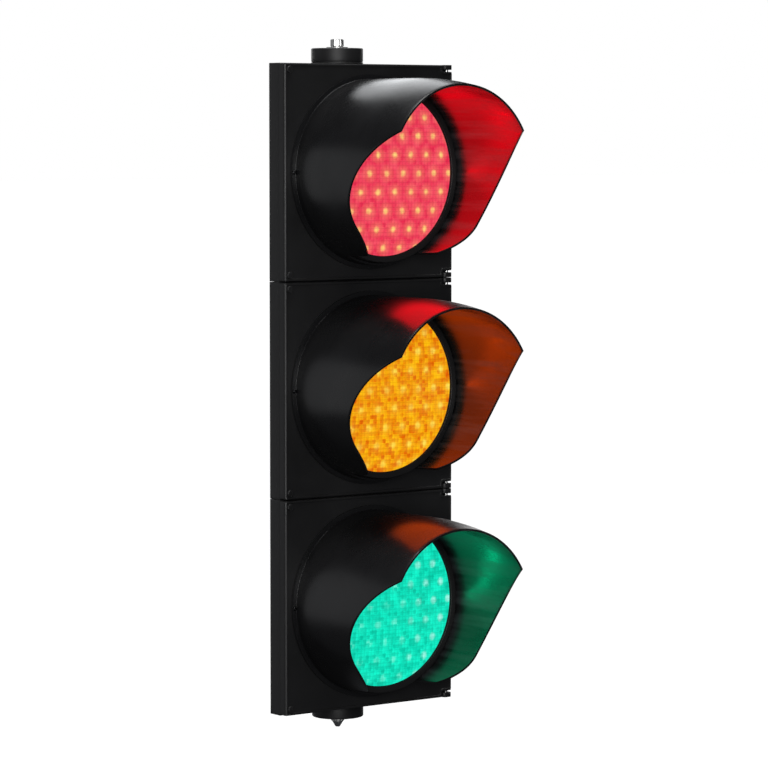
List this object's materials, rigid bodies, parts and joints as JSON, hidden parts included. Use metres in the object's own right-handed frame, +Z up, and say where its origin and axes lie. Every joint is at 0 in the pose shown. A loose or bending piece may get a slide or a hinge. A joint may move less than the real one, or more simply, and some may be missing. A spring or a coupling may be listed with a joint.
{
  "type": "traffic signal head",
  "caption": "Upright signal head of stacked housings, each with a hinged door, a round lit lens and a cutaway visor, and a round mounting cap at top and bottom.",
  "frame": {"origin": "on the axis of the two mounting caps, at the outer face of the top cap", "axes": "+Z up along the stack, the lenses face -Y, +X to the right of a viewer who faces the lenses"},
  "size_m": [0.2334, 0.273, 0.7786],
  "materials": {
    "black_plastic": "satin moulded polycarbonate",
    "visor_plastic": "semi-gloss moulded polycarbonate",
    "rubber": "matt",
    "steel": "bright zinc",
    "grey_nylon": "satin",
    "circuit_board": "satin",
    "cream_plastic": "satin",
    "red_lens": "polished, lit",
    "amber_lens": "polished, lit",
    "green_lens": "polished, lit"
  },
  "bodies": {
    "housing_stack": {"red_housing": "black_plastic", "red_hinge_pin_upper": "steel", "red_hinge_pin_lower": "steel", "amber_housing": "black_plastic", "amber_hinge_pin_upper": "steel", "amber_hinge_pin_lower": "steel", "green_housing": "black_plastic", "green_hinge_pin_upper": "steel", "green_hinge_pin_lower": "steel", "top_cap": "black_plastic", "top_washer": "steel", "top_clamp_plate": "steel", "top_bolt": "steel", "top_nut": "steel", "bottom_cap": "black_plastic", "bottom_clamp_plate": "steel", "bottom_bolt": "steel", "bottom_cap_nut": "steel", "red_amber_coupler": "grey_nylon", "red_amber_coupler_nut": "grey_nylon", "amber_green_coupler": "grey_nylon", "amber_green_coupler_nut": "grey_nylon", "terminal_block": "cream_plastic"},
    "red_door_assembly": {"red_door": "black_plastic", "red_door_seal": "rubber", "red_visor": "visor_plastic", "red_visor_screw_left": "steel", "red_visor_screw_right": "steel", "red_lens": "red_lens", "red_lens_gasket": "rubber", "red_module_case": "grey_nylon", "red_retaining_ring": "black_plastic", "red_led_board": "circuit_board"},
    "red_latch_upper": {"red_latch_upper": "grey_nylon"},
    "red_latch_lower": {"red_latch_lower": "grey_nylon"},
    "amber_door_assembly": {"amber_door": "black_plastic", "amber_door_seal": "rubber", "amber_visor": "visor_plastic", "amber_visor_screw_left": "steel", "amber_visor_screw_right": "steel", "amber_lens": "amber_lens", "amber_lens_gasket": "rubber", "amber_module_case": "grey_nylon", "amber_retaining_ring": "black_plastic", "amber_led_board": "circuit_board"},
    "amber_latch_upper": {"amber_latch_upper": "grey_nylon"},
    "amber_latch_lower": {"amber_latch_lower": "grey_nylon"},
    "green_door_assembly": {"green_door": "black_plastic", "green_door_seal": "rubber", "green_visor": "visor_plastic", "green_visor_screw_left": "steel", "green_visor_screw_right": "steel", "green_lens": "green_lens", "green_lens_gasket": "rubber", "green_module_case": "grey_nylon", "green_retaining_ring": "black_plastic", "green_led_board": "circuit_board"},
    "green_latch_upper": {"green_latch_upper": "grey_nylon"},
    "green_latch_lower": {"green_latch_lower": "grey_nylon"}
  },
  "joints": [
    {"name": "red_door_hinge", "type": "hinge", "parent": "housing_stack", "child": "red_door_assembly", "pos_m": [0.11065, -0.058, -0.138], "axis": [0, 0, 1], "range_deg": [0, 120]},
    {"name": "red_latch_upper_turn", "type": "hinge", "parent": "red_door_assembly", "child": "red_latch_upper", "pos_m": [-0.10995, -0.062, -0.0257], "axis": [0, 1, 0], "range_deg": [0, 90]},
    {"name": "red_latch_lower_turn", "type": "hinge", "parent": "red_door_assembly", "child": "red_latch_lower", "pos_m": [-0.10995, -0.062, -0.2503], "axis": [0, 1, 0], "range_deg": [0, 90]},
    {"name": "amber_door_hinge", "type": "hinge", "parent": "housing_stack", "child": "amber_door_assembly", "pos_m": [0.11065, -0.058, -0.378], "axis": [0, 0, 1], "range_deg": [0, 120]},
    {"name": "amber_latch_upper_turn", "type": "hinge", "parent": "amber_door_assembly", "child": "amber_latch_upper", "pos_m": [-0.10995, -0.062, -0.2657], "axis": [0, 1, 0], "range_deg": [0, 90]},
    {"name": "amber_latch_lower_turn", "type": "hinge", "parent": "amber_door_assembly", "child": "amber_latch_lower", "pos_m": [-0.10995, -0.062, -0.4903], "axis": [0, 1, 0], "range_deg": [0, 90]},
    {"name": "green_door_hinge", "type": "hinge", "parent": "housing_stack", "child": "green_door_assembly", "pos_m": [0.11065, -0.058, -0.618], "axis": [0, 0, 1], "range_deg": [0, 120]},
    {"name": "green_latch_upper_turn", "type": "hinge", "parent": "green_door_assembly", "child": "green_latch_upper", "pos_m": [-0.10995, -0.062, -0.5057], "axis": [0, 1, 0], "range_deg": [0, 90]},
    {"name": "green_latch_lower_turn", "type": "hinge", "parent": "green_door_assembly", "child": "green_latch_lower", "pos_m": [-0.10995, -0.062, -0.7303], "axis": [0, 1, 0], "range_deg": [0, 90]}
  ]
}
